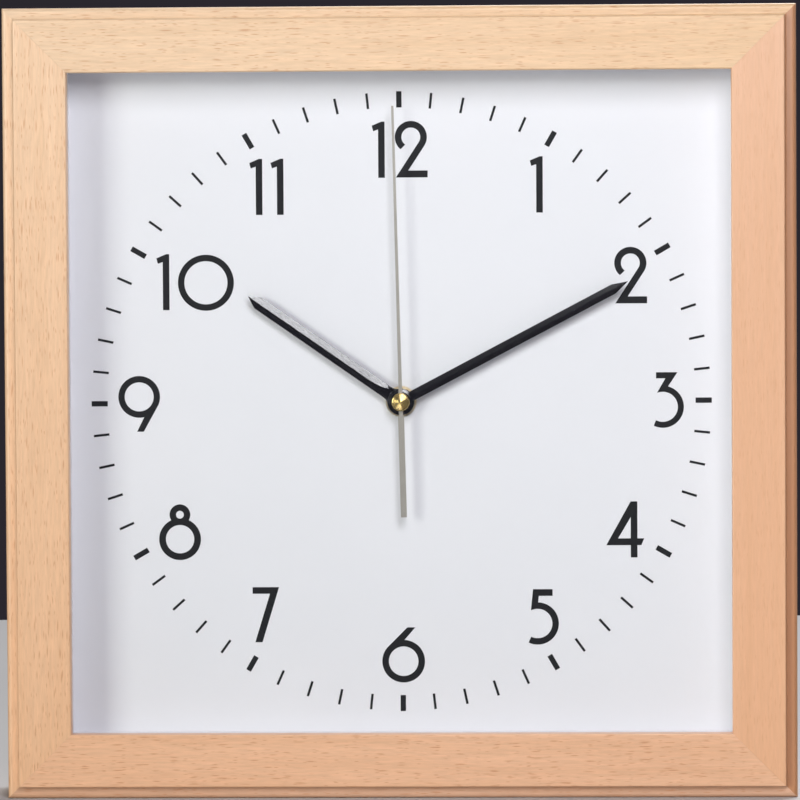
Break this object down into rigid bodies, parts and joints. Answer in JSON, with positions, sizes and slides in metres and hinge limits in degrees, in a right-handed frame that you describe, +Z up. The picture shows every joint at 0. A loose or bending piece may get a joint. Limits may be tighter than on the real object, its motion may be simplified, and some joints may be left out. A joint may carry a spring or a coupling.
{
  "type": "square wall clock",
  "caption": "Square analogue wall clock: mitred wooden frame, glass, white dial with numerals and ticks, three centre hands and a battery quartz movement behind.",
  "frame": {"origin": "end of the hanger plate's slot, on the wall plane at the back of the frame", "axes": "+X to the right as seen from the front, +Y back into the wall, +Z up; the dial faces -Y"},
  "size_m": [0.3, 0.045, 0.3],
  "materials": {
    "beech": "satin clear lacquer",
    "spacer_white": "matte",
    "glass": "polished",
    "dial_white": "matte white paint",
    "hardboard": "matte",
    "point_steel": "satin",
    "hanger_steel": "satin zinc plating",
    "screw_steel": "satin",
    "gasket_rubber": "matte",
    "brass": "polished, turned",
    "rotor_magnet": "matte",
    "nylon": "satin",
    "contact_steel": "satin nickel plating",
    "case_black": "fine texture",
    "stator_steel": "satin",
    "coil_copper": "enamelled wire, satin",
    "circuit_green": "satin",
    "chip_black": "gloss",
    "crystal_can": "polished",
    "battery_sleeve": "gloss sleeve",
    "hand_black": "satin black paint",
    "second_silver": "satin"
  },
  "bodies": {
    "clock": {"frame_rail_top": "beech", "spacer_top": "spacer_white", "board_point_top_a": "point_steel", "board_point_top_b": "point_steel", "frame_rail_right": "beech", "spacer_right": "spacer_white", "board_point_right_a": "point_steel", "board_point_right_b": "point_steel", "frame_rail_bottom": "beech", "spacer_bottom": "spacer_white", "board_point_bottom_a": "point_steel", "board_point_bottom_b": "point_steel", "frame_rail_left": "beech", "spacer_left": "spacer_white", "board_point_left_a": "point_steel", "board_point_left_b": "point_steel", "corner_nail_top_right": "point_steel", "corner_nail_bottom_right": "point_steel", "corner_nail_bottom_left": "point_steel", "corner_nail_top_left": "point_steel", "hanger_plate": "hanger_steel", "hanger_screw_left": "screw_steel", "hanger_screw_right": "screw_steel", "glass_pane": "glass", "dial_plate": "dial_white", "backing_board": "hardboard", "mounting_gasket": "gasket_rubber", "dial_washer": "brass", "dial_nut": "brass", "train_bridge": "nylon", "contact_positive": "contact_steel", "contact_negative": "contact_steel", "movement_case": "case_black", "movement_cover": "case_black", "stator": "stator_steel", "coil": "coil_copper", "circuit_board": "circuit_green", "driver_chip": "chip_black", "quartz_crystal": "crystal_can"},
    "second_hand": {"second_hand": "second_silver", "hand_cap": "brass", "second_wheel": "nylon"},
    "intermediate_wheel": {"intermediate_wheel": "nylon"},
    "rotor": {"rotor": "rotor_magnet"},
    "third_wheel": {"third_wheel": "nylon"},
    "centre_wheel": {"centre_wheel": "nylon"},
    "minute_hand": {"minute_hand": "hand_black", "minute_pipe": "nylon", "clutch_spring": "contact_steel"},
    "setting_knob": {"setting_knob": "case_black", "motion_wheel": "nylon"},
    "hour_hand": {"hour_hand": "hand_black", "hour_wheel": "nylon"},
    "battery": {"battery": "battery_sleeve"}
  },
  "joints": [
    {"name": "second_turn", "type": "hinge", "parent": "clock", "child": "second_hand", "pos_m": [0, 0, -0.1439], "axis": [0, 1, 0], "continuous": true},
    {"name": "intermediate_turn", "type": "hinge", "parent": "clock", "child": "intermediate_wheel", "pos_m": [0.00986, 0, -0.14654], "axis": [0, 1, 0], "continuous": true},
    {"name": "rotor_turn", "type": "hinge", "parent": "clock", "child": "rotor", "pos_m": [0.01267, 0, -0.13884], "axis": [0, 1, 0], "continuous": true},
    {"name": "third_turn", "type": "hinge", "parent": "clock", "child": "third_wheel", "pos_m": [-0.00864, 0, -0.14704], "axis": [0, 1, 0], "continuous": true},
    {"name": "centre_turn", "type": "hinge", "parent": "clock", "child": "centre_wheel", "pos_m": [0, 0, -0.1439], "axis": [0, 1, 0], "continuous": true},
    {"name": "minute_turn", "type": "hinge", "parent": "clock", "child": "minute_hand", "pos_m": [0, 0, -0.1439], "axis": [0, 1, 0], "continuous": true},
    {"name": "setting_turn", "type": "hinge", "parent": "clock", "child": "setting_knob", "pos_m": [-0.00349, 0, -0.13431], "axis": [0, 1, 0], "continuous": true},
    {"name": "hour_turn", "type": "hinge", "parent": "clock", "child": "hour_hand", "pos_m": [0, 0, -0.1439], "axis": [0, 1, 0], "continuous": true},
    {"name": "battery_slide", "type": "slide", "parent": "clock", "child": "battery", "axis": [0, 1, 0], "range_m": [0, 0.02]}
  ],
  "couplings": [
    {"joint": "intermediate_turn", "follows": "second_turn", "ratio": -4},
    {"joint": "rotor_turn", "follows": "second_turn", "ratio": 30},
    {"joint": "third_turn", "follows": "second_turn", "ratio": -0.13333},
    {"joint": "centre_turn", "follows": "second_turn", "ratio": 0.016667},
    {"joint": "setting_turn", "follows": "minute_turn", "ratio": -0.33333},
    {"joint": "hour_turn", "follows": "minute_turn", "ratio": 0.083333}
  ]
}
